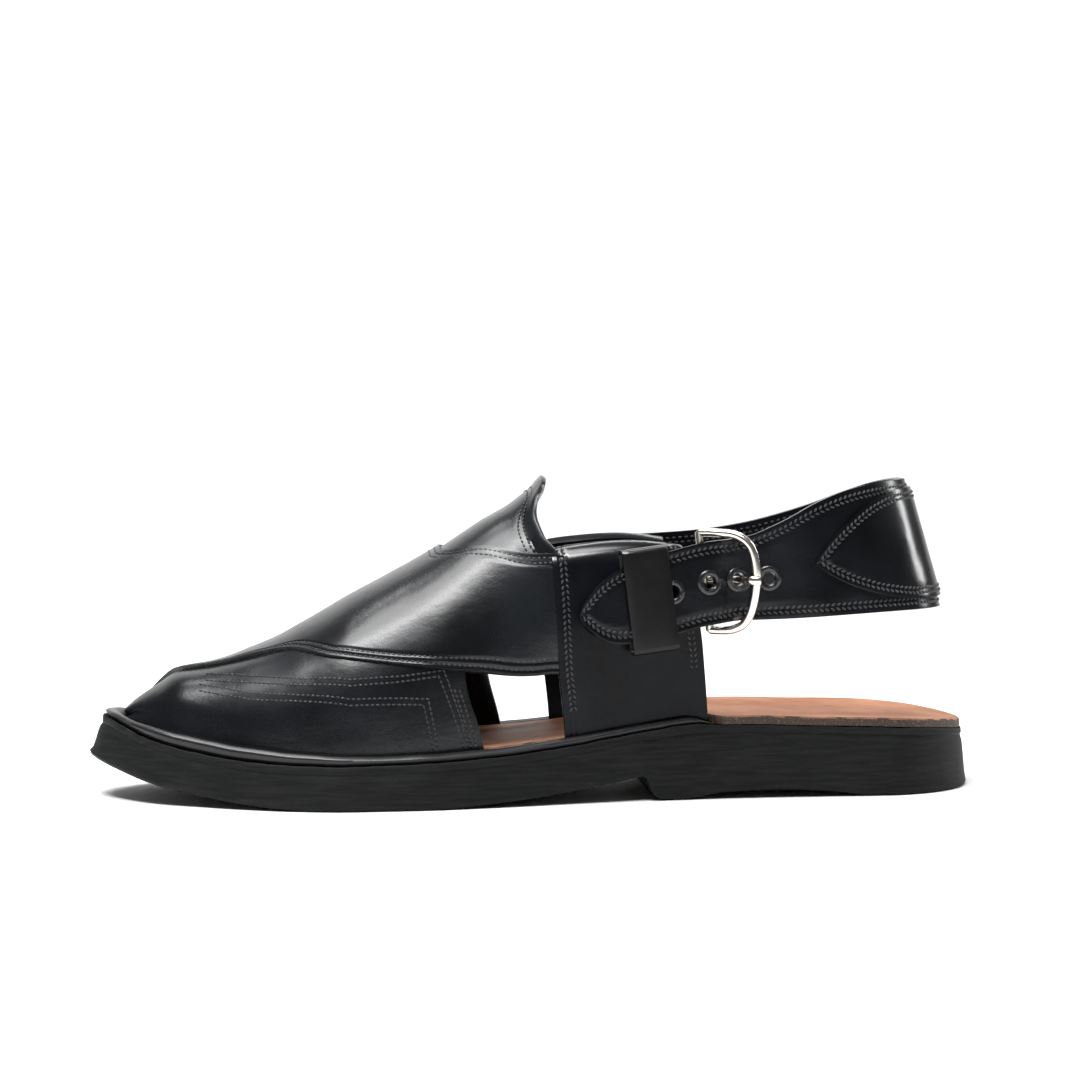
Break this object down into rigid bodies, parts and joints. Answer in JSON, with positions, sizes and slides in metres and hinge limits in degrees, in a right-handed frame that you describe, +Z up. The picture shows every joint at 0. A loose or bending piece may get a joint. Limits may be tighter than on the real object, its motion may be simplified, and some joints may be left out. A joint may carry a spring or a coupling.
{
  "type": "peshawari chappal",
  "caption": "Left black leather sandal with crossed front straps, a tongue, open sides, a buckled strap round the heel and a moulded rubber sole.",
  "frame": {"origin": "on the floor at the middle of the flat spot at the rear of the heel", "axes": "the toe points to -X and the heel to +X, the outer (lateral) side with the buckle is -Y, the inner (medial) side is +Y, and +Z is up from the floor"},
  "size_m": [0.295, 0.0981, 0.1044],
  "materials": {
    "rubber": "matte moulded rubber",
    "insole_leather": "undyed tan leather",
    "welt_leather": "satin black leather",
    "black_leather": "polished black box leather",
    "strap_leather": "polished black leather",
    "cap_leather": "polished black leather",
    "keeper_leather": "satin black leather",
    "nickel": "warm nickel plate",
    "black_metal": "gloss black enamel"
  },
  "bodies": {
    "root": {"outsole": "rubber", "insole": "insole_leather", "welt": "welt_leather", "upper": "black_leather", "heel_strap": "strap_leather", "heel_cap": "cap_leather", "keeper": "keeper_leather", "buckle_frame": "nickel", "buckle_prong": "nickel", "buckle_chape": "strap_leather", "eyelet_1": "black_metal", "eyelet_2": "black_metal", "eyelet_3": "black_metal", "eyelet_4": "black_metal"}
  },
  "joints": []
}
